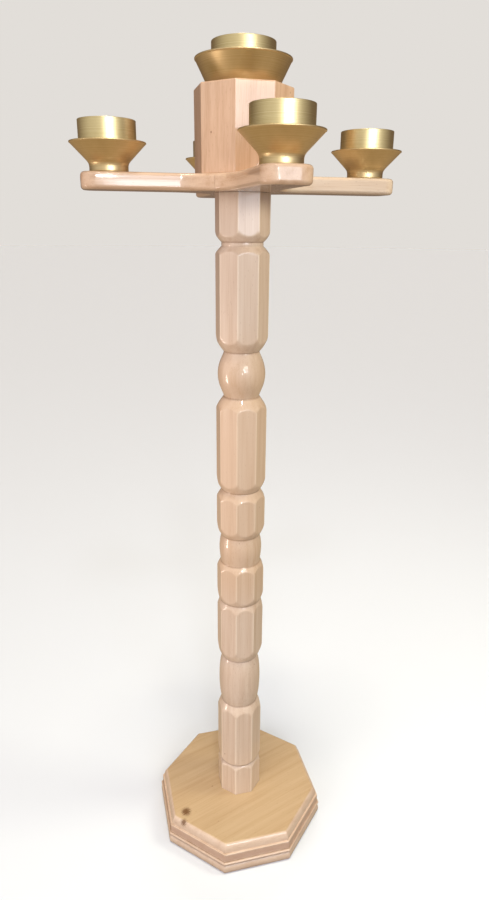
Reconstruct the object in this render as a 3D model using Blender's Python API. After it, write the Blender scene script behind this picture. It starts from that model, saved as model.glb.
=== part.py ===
# Five-light candle stand in lacquered wood and turned brass.
# An octagonal moulded base carries a column that is turned from an octagonal blank. A cross of four
# mitred arms is held between the column and an octagonal head block, and each arm and the block carry
# a brass cup: a drip dish with a candle socket standing in it.
# Metres, +Z up. The origin is on the floor under the column, and the front arm points along -Y.

import math

import bmesh
import bpy

MM = 0.001

# Clearances
SEAT_GAP = 0.3 * MM            # between faces that rest on each other
HOLE_GAP = 0.3 * MM            # around a tenon, dowel, bolt or screw in its hole

# Base, lower board: a narrow bead, a groove and a wide bead run round its edge
LOWER_FLATS = 266 * MM
LOWER_THICKNESS = 24 * MM
BEAD_DEPTH = 3 * MM
NARROW_BEAD_HEIGHT = 5 * MM
GROOVE_HEIGHT = 2.5 * MM
LOWER_FILLET_HEIGHT = 1.8 * MM

# Base, upper board: a rounded-over top edge that ends on a narrow ledge
UPPER_FLATS = 260 * MM
UPPER_THICKNESS = 29.7 * MM
ROUND_OVER_WIDTH = 7.8 * MM
ROUND_OVER_HEIGHT = 15 * MM
LEDGE_WIDTH = 2.8 * MM
LEDGE_EASE = 0.8 * MM

# Column
COLUMN_FLATS = 68 * MM
BLANK_MARGIN = 0.35 * MM       # how far the turned outline stands off the corners of the flats
LOWER_SHOULDER_POWER = 1.3     # fullness of the round shoulders, below a turning and above it
UPPER_SHOULDER_POWER = 1.8
FOOT_TENON_DIAMETER = 40 * MM
HEAD_TENON_DIAMETER = 36 * MM
HEAD_TENON_IN_BLOCK = 40 * MM
TOP_FLAT_LENGTH = 45.4 * MM
# From the foot up, in millimetres, one row for each flat-sided length and the turning above it: flat
# length, lower shoulder, lower waist radius, belly height, belly radius, upper waist radius, upper
# shoulder, and the slimness of the belly
COLUMN_ROWS_MM = (
    (49.9, 9, 32.3, 1, 32.4, 32.3, 12, 0.5),
    (89.8, 21, 29.2, 87, 33.5, 28.2, 26, 0.45),
    (64.5, 15, 32.0, 1, 32.1, 32.0, 17, 0.5),
    (37.5, 14.5, 30.5, 45, 32.3, 29.4, 20, 0.65),
    (39, 14.8, 28.6, 1, 28.7, 28.6, 21.2, 0.5),
    (102, 20, 25.2, 63.5, 33.6, 24.7, 24.5, 0.65),
    (104, 11.5, 27.7, 4.5, 28.0, 27.7, 15, 0.5),
)

# Head: arms and block
BLOCK_FLATS = 116 * MM
BLOCK_HEIGHT = 99.2 * MM
BLOCK_EASE = 2 * MM
ARM_REACH = 203 * MM
ARM_WIDTH = 57 * MM
ARM_THICKNESS = 20 * MM
ARM_TIP_RADIUS = 18 * MM
ARM_SWEEP_RADIUS = 61 * MM     # hollow corner between two arms
ARM_ROUND_OVER = 4.5 * MM
ARM_CUP_OUT = 168 * MM         # column axis to the axis of an arm's cup
DOWEL_DIAMETER = 8 * MM
DOWEL_OUT = 40 * MM            # column axis to a dowel
DOWEL_IN_ARM = 12 * MM
DOWEL_IN_BLOCK = 20 * MM
DOWEL_CHAMFER = 0.8 * MM

# Brass cups
DISH_WALL = 2 * MM
DISH_LIP = 1 * MM
SOCKET_WALL = 2.5 * MM
SOCKET_EASE = 0.5 * MM
ARM_DISH_FOOT_DIAMETER = 47 * MM
ARM_DISH_FOOT_HEIGHT = 9.5 * MM
ARM_DISH_FILLET = 3 * MM
ARM_DISH_RIM_DIAMETER = 92 * MM
ARM_DISH_HEIGHT = 33.5 * MM
ARM_DISH_FLOOR = 1.5 * MM      # above the top of the foot
ARM_SOCKET_DIAMETER = 69 * MM
ARM_SOCKET_DEPTH = 29 * MM
ARM_SOCKET_STEM_DIAMETER = 26 * MM
ARM_SOCKET_STEM_HEIGHT = 4 * MM
ARM_SOCKET_CLEARANCE = 0.8 * MM    # to the cone of its dish
ARM_CUP_HEIGHT = 57 * MM
TOP_DISH_BASE_DIAMETER = 88 * MM
TOP_DISH_RIM_DIAMETER = 120 * MM
TOP_DISH_HEIGHT = 31 * MM
TOP_DISH_FLOOR = 4 * MM
TOP_SOCKET_DIAMETER = 79 * MM
TOP_SOCKET_DEPTH = 39 * MM
TOP_CUP_HEIGHT = 49 * MM

# Fasteners
SCREW_DIAMETER = 5 * MM
SCREW_HEAD_DIAMETER = 10 * MM
SCREW_HEAD_HEIGHT = 3 * MM
SCREW_POINT = 4 * MM
CUP_SCREW_IN_WOOD = 14 * MM
BASE_SCREW_IN_UPPER = 18 * MM
BASE_SCREW_OUT = 85 * MM       # column axis to a base screw
BASE_SCREW_RECESS = 0.5 * MM
BOLT_DIAMETER = 10 * MM
BOLT_HEAD_FLATS = 17 * MM
BOLT_HEAD_HEIGHT = 6.5 * MM
BOLT_IN_COLUMN = 70 * MM
BOLT_POINT = 6 * MM
WASHER_DIAMETER = 28 * MM
WASHER_THICKNESS = 2.5 * MM
COUNTERBORE_DIAMETER = 32 * MM
COUNTERBORE_DEPTH = 12 * MM

# Fineness of round forms
COLUMN_STEPS = 24
CUP_STEPS = 24
HOLE_STEPS = 12
SHOULDER_STEPS = 4
BELLY_SPACING = 9 * MM
ARC_STEPS = 6
ROUND_OVER_STEPS = 2

# Heights of the stack, from the floor up
COLUMN_ROWS = [[size * MM for size in row[:-1]] + [row[-1]] for row in COLUMN_ROWS_MM]
COLUMN_HEIGHT = TOP_FLAT_LENGTH + sum(row[0] + row[1] + row[3] + row[6] for row in COLUMN_ROWS)
UPPER_Z = LOWER_THICKNESS + SEAT_GAP
COLUMN_Z = UPPER_Z + UPPER_THICKNESS + SEAT_GAP
ARM_Z = COLUMN_Z + COLUMN_HEIGHT + SEAT_GAP
BLOCK_Z = ARM_Z + ARM_THICKNESS + SEAT_GAP
TOP_CUP_Z = BLOCK_Z + BLOCK_HEIGHT + SEAT_GAP
ARM_CUP_Z = BLOCK_Z

# Holes that more than one piece shares
TENON_HOLE = HEAD_TENON_DIAMETER / 2 + HOLE_GAP
DOWEL_HOLE = DOWEL_DIAMETER / 2 + HOLE_GAP
SCREW_HOLE = SCREW_DIAMETER / 2 + HOLE_GAP
SCREW_HEAD_HOLE = SCREW_HEAD_DIAMETER / 2 + HOLE_GAP

OCTAGON_CORNER = 1 / math.cos(math.pi / 8)     # corner radius over half the width across flats
OCTAGON_TURN = math.pi / 8     # sets the flats square to X and Y
HEXAGON_CORNER = 1 / math.cos(math.pi / 6)
QUARTER = math.pi / 2
ARMS = ("front", "right", "back", "left")
MITRE = 180 / len(ARMS)        # degrees from an arm's middle line to its mitres
AXIS = (0, 0)


# Building blocks

def finish(name, colour, roughness, metallic):
    material = bpy.data.materials.new(name)
    material.use_nodes = True
    shader = material.node_tree.nodes["Principled BSDF"]
    shader.inputs["Base Color"].default_value = (*colour, 1)
    shader.inputs["Roughness"].default_value = roughness
    shader.inputs["Metallic"].default_value = metallic
    return material


def add_object(name, mesh, material, parent, place=AXIS, height=0.0, turn=0.0):
    piece = bpy.data.objects.new(name, mesh)
    bpy.context.scene.collection.objects.link(piece)
    piece.parent = parent
    piece.location = (*place, height)
    piece.rotation_euler = (0, 0, turn)
    if material:
        mesh.materials.append(material)
    return piece


def to_mesh(name, shape):
    bmesh.ops.recalc_face_normals(shape, faces=shape.faces)
    mesh = bpy.data.meshes.new(name)
    shape.to_mesh(mesh)
    shape.free()
    mesh.shade_smooth()
    mesh.set_sharp_from_angle(angle=math.radians(25))
    return mesh


def lathe(name, outline, steps, closed=False):
    # Spins an outline of (radius, height) points round Z. A closed outline leaves a hole on the axis.
    shape = bmesh.new()
    points = [shape.verts.new((radius, 0, height)) for radius, height in outline]
    pairs = list(zip(points, points[1:]))
    if closed:
        pairs.append((points[-1], points[0]))
    edges = [shape.edges.new(pair) for pair in pairs]
    bmesh.ops.spin(shape, geom=points + edges, cent=(0, 0, 0), axis=(0, 0, 1),
                   angle=2 * math.pi, steps=steps, use_merge=True)
    bmesh.ops.remove_doubles(shape, verts=shape.verts, dist=0.001 * MM)
    return to_mesh(name, shape)


def ring(sides, corner, height, place=AXIS, turn=0.0):
    # Corners of a regular polygon, which stands for a circle where it has many sides.
    angles = [turn + 2 * math.pi * index / sides for index in range(sides)]
    return [(place[0] + corner * math.cos(angle), place[1] + corner * math.sin(angle), height)
            for angle in angles]


def octagons(outline):
    # Carries an outline of (half width across flats, height) points round an octagon.
    return [ring(8, half * OCTAGON_CORNER, height, turn=OCTAGON_TURN) for half, height in outline]


def skin(shape, levels):
    # Lays a skin over loops of corners, one below the other. A loop of one corner is a tip on an axis.
    loops = [[shape.verts.new(corner) for corner in level] for level in levels]
    for upper, lower in zip(loops, loops[1:]):
        count = max(len(upper), len(lower))
        for index in range(count):
            after = index + 1
            corners = (upper[index % len(upper)], upper[after % len(upper)],
                       lower[after % len(lower)], lower[index % len(lower)])
            shape.faces.new(list(dict.fromkeys(corners)))
    return loops


def slab(name, levels, from_top=(), from_bottom=(), through=()):
    # A flat piece: a skin over its outlines from the top down, and two faces with round holes in them.
    # A hole has a place, a number of steps and an outline of (radius, height) points. It starts on the
    # face that it is listed for, and ends on its axis, or on the bottom if it goes through.
    shape = bmesh.new()
    sides = skin(shape, levels)
    top, bottom = [sides[0]], [sides[-1]]
    for holes, starts, ends in ((from_top, top, []), (from_bottom, bottom, []), (through, top, bottom)):
        for place, steps, outline in holes:
            loops = skin(shape, [ring(steps if radius else 1, radius, height, place)
                                 for radius, height in outline])
            starts.append(loops[0])
            ends.append(loops[-1])
    for loops in (top, bottom):
        rims = [shape.edges.get(pair) for loop in loops for pair in zip(loop, loop[1:] + loop[:1])]
        bmesh.ops.triangle_fill(shape, edges=rims, use_beauty=True, normal=(0, 0, 1))
    return to_mesh(name, shape)


def blind_hole(radius, face, end):
    return [(radius, face), (radius, end), (0, end)]


def cut_flats(name, mesh, half):
    # Planes eight flats on a turned mesh, at half the width across flats from its axis.
    shape = bmesh.new()
    shape.from_mesh(mesh)
    for index in range(8):
        angle = index * math.pi / 4
        facing = (math.cos(angle), math.sin(angle), 0)
        everything = shape.verts[:] + shape.edges[:] + shape.faces[:]
        cut = bmesh.ops.bisect_plane(shape, geom=everything, dist=0.001 * MM, clear_outer=True,
                                     plane_co=[half * part for part in facing], plane_no=facing)
        rims = [item for item in cut["geom_cut"] if isinstance(item, bmesh.types.BMEdge)]
        bmesh.ops.holes_fill(shape, edges=rims, sides=0)
    return to_mesh(name, shape)


def arc(centre, size, start, end, steps):
    # Points on an ellipse between two angles in degrees, both ends included.
    angles = [math.radians(start + (end - start) * step / steps) for step in range(steps + 1)]
    return [(centre[0] + size[0] * math.cos(angle), centre[1] + size[1] * math.sin(angle))
            for angle in angles]


def around(count, radius, first=0.0):
    # Places on a circle round the column's axis.
    angles = [first + 2 * math.pi * index / count for index in range(count)]
    return [(radius * math.cos(angle), radius * math.sin(angle)) for angle in angles]


def screw_outline(length):
    # A countersunk screw that points down, with the flat of its head at height 0.
    shank = SCREW_DIAMETER / 2
    return [(0, 0), (SCREW_HEAD_DIAMETER / 2, 0), (shank, -SCREW_HEAD_HEIGHT),
            (shank, SCREW_POINT - length), (0, -length)]


# Base

def bead(top, bottom, inner, depth):
    half = (top - bottom) / 2
    return arc((inner, bottom + half), (depth, half), 90, -90, ARC_STEPS)


def add_lower_board(stand, wood):
    inner = LOWER_FLATS / 2 - BEAD_DEPTH
    groove_top = LOWER_THICKNESS - NARROW_BEAD_HEIGHT
    groove_bottom = groove_top - GROOVE_HEIGHT
    edge = bead(LOWER_THICKNESS, groove_top, inner, BEAD_DEPTH)
    edge += bead(groove_bottom, LOWER_FILLET_HEIGHT, inner, BEAD_DEPTH)
    edge += [(inner, 0)]
    bolt_hole = BOLT_DIAMETER / 2 + HOLE_GAP
    counterbore = COUNTERBORE_DIAMETER / 2
    for_bolt = [(bolt_hole, LOWER_THICKNESS), (bolt_hole, COUNTERBORE_DEPTH),
                (counterbore, COUNTERBORE_DEPTH), (counterbore, 0)]
    for_screw = [(SCREW_HOLE, LOWER_THICKNESS), (SCREW_HOLE, BASE_SCREW_RECESS + SCREW_HEAD_HEIGHT),
                 (SCREW_HEAD_HOLE, BASE_SCREW_RECESS), (SCREW_HEAD_HOLE, 0)]
    holes = [(place, HOLE_STEPS, for_screw) for place in around(4, BASE_SCREW_OUT, math.pi / 4)]
    holes.append((AXIS, COLUMN_STEPS, for_bolt))
    add_object("base_lower_board", slab("base_lower_board", octagons(edge), through=holes), wood, stand)


def add_upper_board(stand, wood):
    half = UPPER_FLATS / 2
    ledge = UPPER_THICKNESS - ROUND_OVER_HEIGHT
    top_half = half - LEDGE_WIDTH - ROUND_OVER_WIDTH
    edge = arc((top_half, ledge), (ROUND_OVER_WIDTH, ROUND_OVER_HEIGHT), 90, 0, ARC_STEPS)
    edge += [(half - LEDGE_EASE, ledge), (half, ledge - LEDGE_EASE), (half, 0)]
    tenon = FOOT_TENON_DIAMETER / 2 + HOLE_GAP
    for_tenon = (AXIS, COLUMN_STEPS, [(tenon, UPPER_THICKNESS), (tenon, 0)])
    for_screw = blind_hole(SCREW_HOLE, 0, BASE_SCREW_IN_UPPER + HOLE_GAP)
    for_screws = [(place, HOLE_STEPS, for_screw) for place in around(4, BASE_SCREW_OUT, math.pi / 4)]
    board = slab("base_upper_board", octagons(edge), from_bottom=for_screws, through=[for_tenon])
    add_object("base_upper_board", board, wood, stand, height=UPPER_Z)


def add_base_fasteners(stand, steel):
    length = UPPER_Z + BASE_SCREW_IN_UPPER - BASE_SCREW_RECESS
    upward = [(radius, -height) for radius, height in screw_outline(length)]
    for number, place in enumerate(around(4, BASE_SCREW_OUT, math.pi / 4), start=1):
        name = f"base_screw_{number}"
        add_object(name, lathe(name, upward, HOLE_STEPS), steel, stand, place, BASE_SCREW_RECESS)

    washer_z = COUNTERBORE_DEPTH - SEAT_GAP - WASHER_THICKNESS
    hole = BOLT_DIAMETER / 2 + HOLE_GAP
    rim = WASHER_DIAMETER / 2
    washer_outline = [(hole, WASHER_THICKNESS), (rim, WASHER_THICKNESS), (rim, 0), (hole, 0)]
    washer = lathe("base_washer", washer_outline, COLUMN_STEPS, closed=True)
    add_object("base_washer", washer, steel, stand, height=washer_z)

    head_z = washer_z - SEAT_GAP - BOLT_HEAD_HEIGHT
    length = UPPER_Z + BOLT_IN_COLUMN - head_z
    shank = BOLT_DIAMETER / 2
    corner = BOLT_HEAD_FLATS / 2 * HEXAGON_CORNER
    head = [ring(6, corner, BOLT_HEAD_HEIGHT), ring(6, corner, 0)]
    rod = [(shank, BOLT_HEAD_HEIGHT), (shank, length - BOLT_POINT), (0, length)]
    bolt = slab("base_bolt", head, from_top=[(AXIS, HOLE_STEPS, rod)])
    add_object("base_bolt", bolt, steel, stand, height=head_z)


# Column

def shoulder(flat_z, blank, waist_z, waist, power):
    # Round end of a flat-sided length, from the blank down to the waist beside it.
    shares = [step / SHOULDER_STEPS for step in range(SHOULDER_STEPS + 1)]
    return [(blank + (waist - blank) * share ** power, flat_z + (waist_z - flat_z) * share)
            for share in shares]


def belly(bottom, height, lower_waist, radius, upper_waist, slimness):
    # Swelling between two waists, without its ends: hollow beside the waists and round in the middle.
    steps = max(2, round(height / BELLY_SPACING))
    points = []
    for step in range(1, steps):
        share = step / steps
        waist = lower_waist + (upper_waist - lower_waist) * share
        rise = 1 - abs(2 * share - 1)
        swell = math.sin(QUARTER * rise ** slimness) ** 2
        points.append((waist + (radius - waist) * swell, bottom + height * share))
    return points


def column_outline(blank):
    outline = [(blank, 0)]
    height = 0
    for flat, lower, lower_waist, belly_height, radius, upper_waist, upper, slimness in COLUMN_ROWS:
        height += flat
        outline += shoulder(height, blank, height + lower, lower_waist, LOWER_SHOULDER_POWER)
        height += lower
        outline += belly(height, belly_height, lower_waist, radius, upper_waist, slimness)
        height += belly_height
        outline += reversed(shoulder(height + upper, blank, height, upper_waist, UPPER_SHOULDER_POWER))
        height += upper
    outline.append((blank, COLUMN_HEIGHT))
    return outline


def add_column(stand, wood):
    # The outline is turned and then planed to an octagon, so every flat ends in a scallop where it
    # runs out into a round shoulder. The bolt's hole goes up from the foot.
    blank = COLUMN_FLATS / 2 * OCTAGON_CORNER + BLANK_MARGIN
    foot_end = UPPER_Z - COLUMN_Z
    head_end = BLOCK_Z + HEAD_TENON_IN_BLOCK - COLUMN_Z
    foot = FOOT_TENON_DIAMETER / 2
    head = HEAD_TENON_DIAMETER / 2
    hole = BOLT_DIAMETER / 2 + HOLE_GAP
    hole_end = foot_end + BOLT_IN_COLUMN + HOLE_GAP
    outline = [(0, hole_end), (hole, hole_end), (hole, foot_end), (foot, foot_end), (foot, 0)]
    outline += column_outline(blank)
    outline += [(head, COLUMN_HEIGHT), (head, head_end), (0, head_end)]
    turned = lathe("column_turned", outline, COLUMN_STEPS)
    column = cut_flats("column", turned, COLUMN_FLATS / 2)
    add_object("column", column, wood, stand, height=COLUMN_Z)


# Head

def add_block(stand, wood):
    half = BLOCK_FLATS / 2
    edge = arc((half - BLOCK_EASE, BLOCK_HEIGHT - BLOCK_EASE), (BLOCK_EASE, BLOCK_EASE), 90, 0, 2)
    edge += [(half, 0)]
    for_screw = blind_hole(SCREW_HOLE, BLOCK_HEIGHT, BLOCK_HEIGHT - CUP_SCREW_IN_WOOD - HOLE_GAP)
    for_dowel = blind_hole(DOWEL_HOLE, 0, DOWEL_IN_BLOCK + HOLE_GAP)
    below = [(place, HOLE_STEPS, for_dowel) for place in around(4, DOWEL_OUT)]
    below.append((AXIS, COLUMN_STEPS, blind_hole(TENON_HOLE, 0, HEAD_TENON_IN_BLOCK + HOLE_GAP)))
    block = slab("head_block", octagons(edge), from_top=[(AXIS, HOLE_STEPS, for_screw)], from_bottom=below)
    add_object("head_block", block, wood, stand, height=BLOCK_Z)


def arm_outline(inset):
    # Plan of the front arm, drawn in by an inset: hollow corners, rounded tip, mitres and tenon hole.
    half = ARM_WIDTH / 2 - inset
    reach = ARM_REACH - inset
    tip = ARM_TIP_RADIUS - inset
    sweep = ARM_SWEEP_RADIUS + inset
    sweep_out = ARM_WIDTH / 2 + ARM_SWEEP_RADIUS
    right = arc((sweep_out, -sweep_out), (sweep, sweep), 90 + MITRE, 180, ARC_STEPS)
    right += arc((half - tip, tip - reach), (tip, tip), 0, -90, ARC_STEPS)
    hole = arc(AXIS, (TENON_HOLE, TENON_HOLE), -90 - MITRE, -90 + MITRE, ARC_STEPS)
    left = [(-x, y) for x, y in reversed(right)]
    plan = right + left + hole
    # The mitred faces stand back by half the gap between two arms.
    mitre = SEAT_GAP / 2 * math.sqrt(0.5)
    first_left = len(right) + len(left)
    for index, side in ((0, 1), (first_left - 1, -1), (first_left, -1), (len(plan) - 1, 1)):
        x, y = plan[index]
        plan[index] = (x - side * mitre, y - mitre)
    return plan


def add_arm(side, mount, wood):
    edge = arc((0, ARM_ROUND_OVER), (ARM_ROUND_OVER, ARM_ROUND_OVER), -90, 0, ROUND_OVER_STEPS)
    lower = [(ARM_ROUND_OVER - out, height) for out, height in edge]
    upper = [(inset, ARM_THICKNESS - height) for inset, height in lower]
    levels = [[(x, y, height) for x, y in arm_outline(inset)] for inset, height in upper + lower[::-1]]
    pilot = blind_hole(SCREW_HOLE, ARM_THICKNESS, ARM_THICKNESS - CUP_SCREW_IN_WOOD - HOLE_GAP)
    seat = blind_hole(DOWEL_HOLE, ARM_THICKNESS, ARM_THICKNESS - DOWEL_IN_ARM - HOLE_GAP)
    holes = [((0, -ARM_CUP_OUT), HOLE_STEPS, pilot), ((0, -DOWEL_OUT), HOLE_STEPS, seat)]
    name = f"arm_{side}"
    arm = slab(name, levels, from_top=holes)
    add_object(name, arm, wood, mount, height=ARM_Z)


def add_dowel(side, mount, wood):
    bottom = ARM_Z + ARM_THICKNESS - DOWEL_IN_ARM
    length = BLOCK_Z + DOWEL_IN_BLOCK - bottom
    radius = DOWEL_DIAMETER / 2
    end = radius - DOWEL_CHAMFER
    outline = [(0, length), (end, length), (radius, length - DOWEL_CHAMFER),
               (radius, DOWEL_CHAMFER), (end, 0), (0, 0)]
    name = f"arm_dowel_{side}"
    add_object(name, lathe(name, outline, HOLE_STEPS), wood, mount, (0, -DOWEL_OUT), bottom)


# Brass cups

def dish_outline(base, base_z, fillet, rim, height, floor):
    # Closed outline of a cone on a foot. A small fillet joins the two, and a lip runs round the rim.
    slope = (rim - base) / (height - base_z)
    across = DISH_WALL * math.hypot(1, slope)
    lip = DISH_LIP
    outline = [(rim, height), (rim, height - 1.5 * lip), (rim - lip, height - 2 * lip)]
    if fillet:
        outline += [(base + fillet * slope, base_z + fillet), (base + fillet * slope / 4, base_z)]
        outline += [(base, base_z - fillet)]
    floor_edge = base + (floor - base_z) * slope - across
    outline += [(base, 0), (SCREW_HOLE, 0), (SCREW_HOLE, floor), (floor_edge, floor), (rim - across, height)]
    return outline, slope, across


def socket_outline(radius, top, depth, underside):
    # Closed outline of a candle socket, with a countersunk screw hole through its floor.
    inner = radius - SOCKET_WALL
    floor = top - depth
    outline = [(inner + SOCKET_EASE, top), (radius - SOCKET_EASE, top), (radius, top - SOCKET_EASE)]
    outline += underside
    outline += [(SCREW_HOLE, underside[-1][1]), (SCREW_HOLE, floor - SCREW_HEAD_HEIGHT)]
    outline += [(SCREW_HEAD_HOLE, floor), (inner, floor), (inner, top - SOCKET_EASE)]
    return outline


def add_cup(side, mount, place, seat_z, outlines, top_and_depth, brass, steel):
    dish, socket = outlines
    top, depth = top_and_depth
    for name, outline in ((f"drip_dish_{side}", dish), (f"candle_socket_{side}", socket)):
        add_object(name, lathe(name, outline, CUP_STEPS, closed=True), brass, mount, place, seat_z)
    name = f"cup_screw_{side}"
    floor = top - depth
    screw = lathe(name, screw_outline(floor + SEAT_GAP + CUP_SCREW_IN_WOOD), HOLE_STEPS)
    add_object(name, screw, steel, mount, place, seat_z + floor)


def arm_cup_outlines():
    foot = ARM_DISH_FOOT_DIAMETER / 2
    floor = ARM_DISH_FOOT_HEIGHT + ARM_DISH_FLOOR
    dish, slope, across = dish_outline(foot, ARM_DISH_FOOT_HEIGHT, ARM_DISH_FILLET,
                                       ARM_DISH_RIM_DIAMETER / 2, ARM_DISH_HEIGHT, floor)
    radius = ARM_SOCKET_DIAMETER / 2
    stem = ARM_SOCKET_STEM_DIAMETER / 2
    # The wall stops where it would meet the dish's cone, and a tapered floor runs in to the stem.
    wall_end = ARM_DISH_FOOT_HEIGHT + (radius + ARM_SOCKET_CLEARANCE + across - foot) / slope
    seat = floor + SEAT_GAP
    underside = [(radius, wall_end), (stem, seat + ARM_SOCKET_STEM_HEIGHT), (stem, seat)]
    return dish, socket_outline(radius, ARM_CUP_HEIGHT, ARM_SOCKET_DEPTH, underside)


def top_cup_outlines():
    dish, _, _ = dish_outline(TOP_DISH_BASE_DIAMETER / 2, 0, 0, TOP_DISH_RIM_DIAMETER / 2,
                              TOP_DISH_HEIGHT, TOP_DISH_FLOOR)
    radius = TOP_SOCKET_DIAMETER / 2
    underside = [(radius, TOP_DISH_FLOOR + SEAT_GAP)]
    return dish, socket_outline(radius, TOP_CUP_HEIGHT, TOP_SOCKET_DEPTH, underside)


def build():
    for old in list(bpy.data.objects):
        bpy.data.objects.remove(old, do_unlink=True)
    wood = finish("lacquered_beech", (0.72, 0.50, 0.34), 0.3, 0.0)
    brass = finish("turned_brass", (0.62, 0.45, 0.18), 0.32, 1.0)
    steel = finish("zinc_plated_steel", (0.6, 0.6, 0.58), 0.35, 1.0)

    stand = bpy.data.objects.new("candle_stand", None)
    bpy.context.scene.collection.objects.link(stand)
    add_lower_board(stand, wood)
    add_upper_board(stand, wood)
    add_base_fasteners(stand, steel)
    add_column(stand, wood)
    add_block(stand, wood)
    add_cup("top", stand, AXIS, TOP_CUP_Z, top_cup_outlines(),
            (TOP_CUP_HEIGHT, TOP_SOCKET_DEPTH), brass, steel)
    for quarter, side in enumerate(ARMS):
        mount = add_object(f"mount_{side}", None, None, stand, turn=quarter * QUARTER)
        add_arm(side, mount, wood)
        add_dowel(side, mount, wood)
        add_cup(side, mount, (0, -ARM_CUP_OUT), ARM_CUP_Z, arm_cup_outlines(),
                (ARM_CUP_HEIGHT, ARM_SOCKET_DEPTH), brass, steel)


build()
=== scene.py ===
import math

import bmesh
import bpy
from mathutils import Matrix, Vector


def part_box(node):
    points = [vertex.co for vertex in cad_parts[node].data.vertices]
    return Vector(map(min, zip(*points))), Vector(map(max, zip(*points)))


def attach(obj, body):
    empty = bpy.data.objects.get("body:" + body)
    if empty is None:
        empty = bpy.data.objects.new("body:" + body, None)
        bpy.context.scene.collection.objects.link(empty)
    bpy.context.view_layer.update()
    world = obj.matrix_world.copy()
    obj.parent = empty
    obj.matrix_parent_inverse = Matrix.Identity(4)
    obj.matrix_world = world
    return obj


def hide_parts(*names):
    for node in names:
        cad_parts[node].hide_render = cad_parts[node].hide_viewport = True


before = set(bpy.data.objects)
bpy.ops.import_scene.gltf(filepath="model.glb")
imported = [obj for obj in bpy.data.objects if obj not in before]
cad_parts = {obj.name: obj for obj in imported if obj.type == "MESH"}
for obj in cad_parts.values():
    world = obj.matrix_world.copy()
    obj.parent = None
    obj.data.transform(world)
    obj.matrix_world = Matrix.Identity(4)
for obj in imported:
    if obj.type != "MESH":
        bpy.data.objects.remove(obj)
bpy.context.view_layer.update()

# Five-light candle stand in lacquered beech and turned brass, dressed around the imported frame.
# The visible pieces are remade finely from the frame's own boxes. Lengths are in metres.

mm = 0.001
arms = ("front", "right", "back", "left")
armTurn = {side: index * math.pi / 2 for index, side in enumerate(arms)}
cups = (*arms, "top")
print("frame loaded:", len(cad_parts), "nodes")


# Colour and nodes

def hexColour(text):
    # sRGB hex to the linear colour that the sockets take
    channels = [int(text[i:i + 2], 16) / 255 for i in (1, 3, 5)]
    return (*(c / 12.92 if c <= 0.04045 else ((c + 0.055) / 1.055) ** 2.4 for c in channels), 1)


def addNode(tree, kind, settings=None, values=None, links=None, stops=None):
    # settings are the node's own options, values fill its inputs, links feed inputs from other sockets,
    # and stops are the places and colours of a ramp
    node = tree.nodes.new(kind)
    for name, value in (settings or {}).items():
        setattr(node, name, value)
    for name, value in (values or {}).items():
        node.inputs[name].default_value = value
    for name, socket in (links or {}).items():
        tree.links.new(socket, node.inputs[name])
    for index, (place, colour) in enumerate(stops or ()):
        ramp = node.color_ramp.elements
        stop = ramp[index] if index < 2 else ramp.new(place)
        stop.position = place
        stop.color = hexColour(colour)
    return node


def startMaterial(name):
    material = bpy.data.materials.new(name)
    material.use_nodes = True
    return material, material.node_tree, material.node_tree.nodes["Principled BSDF"]


# Beech, planed, sanded and sprayed with clear lacquer: pale pinkish cream with fine straight fibres,
# slow bands of growth, short dark flecks and a smooth gloss that lies over it all.
# Patterns have a width across the fibres and a length along them, in mm. Specks are short flecks and
# rarer pits, which fade out between two distances from the middles of their cells.
beech = {
    "pale": "#DECDBF", "middle": "#D3BEAD", "dark": "#C0A58E", "toneMiddle": 0.48, "toneSpread": 0.18,
    "fibre": (0.7, 60), "band": (8, 260), "fibreShare": 0.4, "seedShift": (0.37, 0.21, 0.53),
    "speck": "#8A6248", "fleckCell": (2.4, 13), "fleckFade": (0.05, 0.16), "fleckShare": 0.35,
    "pitCell": (30, 48), "pitFade": (0.02, 0.036), "pitShare": 0.9,
    # the paler arris tone is partly wear and partly a painted highlight along the eased corners
    "wornSheen": "#F6EADC", "wornSheenShare": 0.55, "sideBlend": 1, "roughness": 0.4, "roughnessSwing": 0.06,
    "coat": 0.9, "coatRoughness": 0.06, "ior": 1.5, "bump": 0.1, "bumpDepth": 0.3,
}
# where nearly all of a noise pattern's values lie
noiseRange = (0.3, 0.7)

# What else colours the wood in places: dark knots, painted shade in grooves and creases, painted shade on the
# upright faces of the base near the floor, and a yellower band round the middle of the column. All but the
# knots lie round a height, so only a knot counts distance across. Share is how strongly a mark covers the wood,
# core is the part of its reach that it covers fully, and ragged is how far the fibres draw its edge in.
woodMarks = {
    "knot": {"colour": "#6E4A2A", "share": 0.95, "core": 0.72, "across": 1, "ragged": 1},
    "grooveShade": {"colour": "#7E5638", "share": 0.6, "core": 0, "across": 0, "ragged": 0.6},
    "uprightShade": {"colour": "#AC7567", "share": 0.34, "core": 0.6, "across": 0, "ragged": 0.35},
    "yellowerBand": {"colour": "#CEA576", "share": 0.3, "core": 0.6, "across": 0, "ragged": 0},
}


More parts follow.
